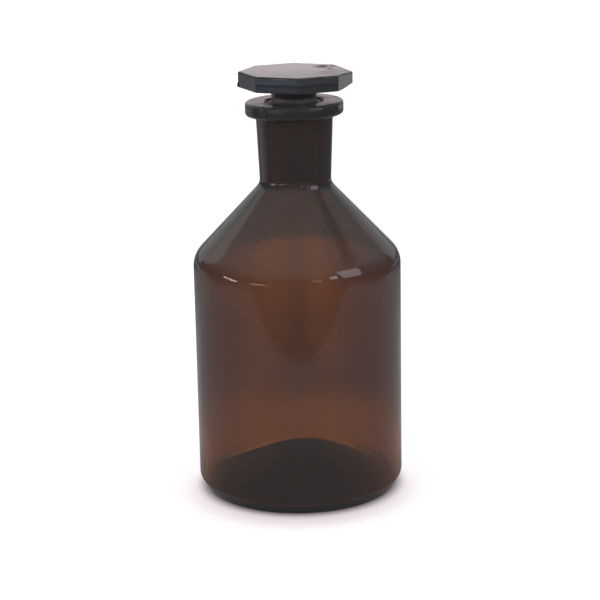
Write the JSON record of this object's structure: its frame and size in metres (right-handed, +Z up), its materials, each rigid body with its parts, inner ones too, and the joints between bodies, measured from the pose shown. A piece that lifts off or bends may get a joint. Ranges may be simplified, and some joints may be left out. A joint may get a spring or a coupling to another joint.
{
  "type": "reagent bottle",
  "caption": "Round narrow-neck brown glass reagent bottle with a conical shoulder, a flat lip and a ground-in glass stopper whose flat eight-sided head lifts off.",
  "frame": {"origin": "centre of the foot ring that the bottle stands on", "axes": "+Z up along the bottle's axis, out of its mouth; +X and -Y each point at a corner of the stopper's head"},
  "size_m": [0.086, 0.086, 0.1758],
  "materials": {
    "bottle_glass": "smooth brown glass, with the socket in the neck ground matt",
    "stopper_glass": "pressed brown glass, with the plug ground matt"
  },
  "bodies": {
    "bottle": {"bottle": "bottle_glass"},
    "stopper": {"stopper": "stopper_glass"}
  },
  "joints": [
    {"name": "stopper_lift", "type": "slide", "parent": "bottle", "child": "stopper", "axis": [0, 0, 1], "range_m": [0, 0.06]}
  ]
}
